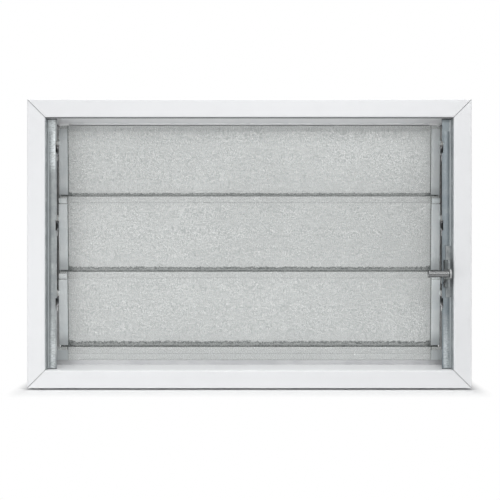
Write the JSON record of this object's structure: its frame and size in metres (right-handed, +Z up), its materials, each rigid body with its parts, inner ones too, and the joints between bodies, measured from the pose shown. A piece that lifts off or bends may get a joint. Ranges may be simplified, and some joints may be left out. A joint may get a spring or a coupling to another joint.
{
  "type": "jalousie window sash with crank",
  "caption": "Mitred white window frame with tilting blades of obscure glass in steel holders, opened together by a short crank lever.",
  "frame": {"origin": "middle of the sill's flat underside, half way through the frame's depth", "axes": "+X to the right as seen from the room, +Y out of the room through the window, +Z up"},
  "size_m": [0.6, 0.1005, 0.39],
  "materials": {
    "white_powder_coat": "satin white powder coat",
    "cast_aluminium": "cast, matt",
    "zinc_plated_steel": "bright zinc plate",
    "galvanised_steel": "hot-dip galvanised, soft grey",
    "bright_zinc_steel": "bright zinc plate",
    "spring_steel": "plain spring steel",
    "white_nylon": "plain nylon",
    "obscure_glass": "hammered on one face",
    "mill_aluminium": "mill finish",
    "grey_seal_rubber": "extruded"
  },
  "bodies": {
    "frame": {"channel_rivets": "zinc_plated_steel", "corner_keys": "cast_aluminium", "corner_screws": "zinc_plated_steel", "crank_bracket": "galvanised_steel", "crank_bracket_rivets": "zinc_plated_steel", "crank_pivot_pin": "zinc_plated_steel", "frame_head": "white_powder_coat", "frame_jamb_left": "white_powder_coat", "frame_jamb_right": "white_powder_coat", "frame_sill": "white_powder_coat", "friction_springs": "spring_steel", "head_seal": "grey_seal_rubber", "head_stop": "mill_aluminium", "head_stop_rivets": "zinc_plated_steel", "pivot_pins": "zinc_plated_steel", "pivot_washers": "white_nylon", "setting_blocks": "grey_seal_rubber", "side_plate_left": "galvanised_steel", "side_plate_right": "galvanised_steel", "side_plate_rivets": "zinc_plated_steel", "sill_channel": "mill_aluminium", "spring_rivets": "zinc_plated_steel", "strip_clip_left": "galvanised_steel", "strip_clip_right": "galvanised_steel", "strip_clip_rivets": "zinc_plated_steel", "strip_glass": "obscure_glass"},
    "blade_upper": {"blade_glass_upper": "obscure_glass", "blade_holder_upper_left": "galvanised_steel", "blade_holder_upper_right": "galvanised_steel", "drive_pins_upper": "zinc_plated_steel"},
    "blade_middle": {"blade_glass_middle": "obscure_glass", "blade_holder_middle_left": "galvanised_steel", "blade_holder_middle_right": "galvanised_steel", "drive_pins_middle": "zinc_plated_steel"},
    "blade_lower": {"blade_glass_lower": "obscure_glass", "blade_holder_lower_left": "galvanised_steel", "blade_holder_lower_right": "galvanised_steel", "drive_pins_lower": "zinc_plated_steel"},
    "tie_bar_left": {"tie_bar_left": "galvanised_steel"},
    "tie_bar_right": {"tie_bar_right": "galvanised_steel", "crank_link_pin": "zinc_plated_steel"},
    "crank": {"crank_lever": "bright_zinc_steel", "crank_grip": "bright_zinc_steel", "crank_grip_pin": "zinc_plated_steel"}
  },
  "joints": [
    {"name": "blade_middle_tilt", "type": "hinge", "parent": "frame", "child": "blade_middle", "pos_m": [0, 0.016, 0.2323], "axis": [1, 0, 0], "range_deg": [0, 85]},
    {"name": "blade_upper_tilt", "type": "hinge", "parent": "frame", "child": "blade_upper", "pos_m": [0, 0.016, 0.3393], "axis": [1, 0, 0], "range_deg": [0, 85]},
    {"name": "blade_lower_tilt", "type": "hinge", "parent": "frame", "child": "blade_lower", "pos_m": [0, 0.016, 0.1253], "axis": [1, 0, 0], "range_deg": [0, 85]},
    {"name": "crank_turn", "type": "hinge", "parent": "frame", "child": "crank", "pos_m": [0.2664, -0.033, 0.1542], "axis": [1, 0, 0], "range_deg": [0, 85]},
    {"name": "tie_bar_left_pivot", "type": "hinge", "parent": "blade_middle", "child": "tie_bar_left", "pos_m": [-0.2722, 0.0278, 0.22149], "axis": [1, 0, 0], "range_deg": [-85, 0]},
    {"name": "tie_bar_right_pivot", "type": "hinge", "parent": "blade_middle", "child": "tie_bar_right", "pos_m": [0.2722, 0.0278, 0.22149], "axis": [1, 0, 0], "range_deg": [-85, 0]}
  ],
  "couplings": [
    {"joint": "blade_upper_tilt", "follows": "blade_middle_tilt", "ratio": 1},
    {"joint": "blade_lower_tilt", "follows": "blade_middle_tilt", "ratio": 1},
    {"joint": "crank_turn", "follows": "blade_middle_tilt", "ratio": 1},
    {"joint": "tie_bar_left_pivot", "follows": "blade_middle_tilt", "ratio": -1},
    {"joint": "tie_bar_right_pivot", "follows": "blade_middle_tilt", "ratio": -1}
  ]
}
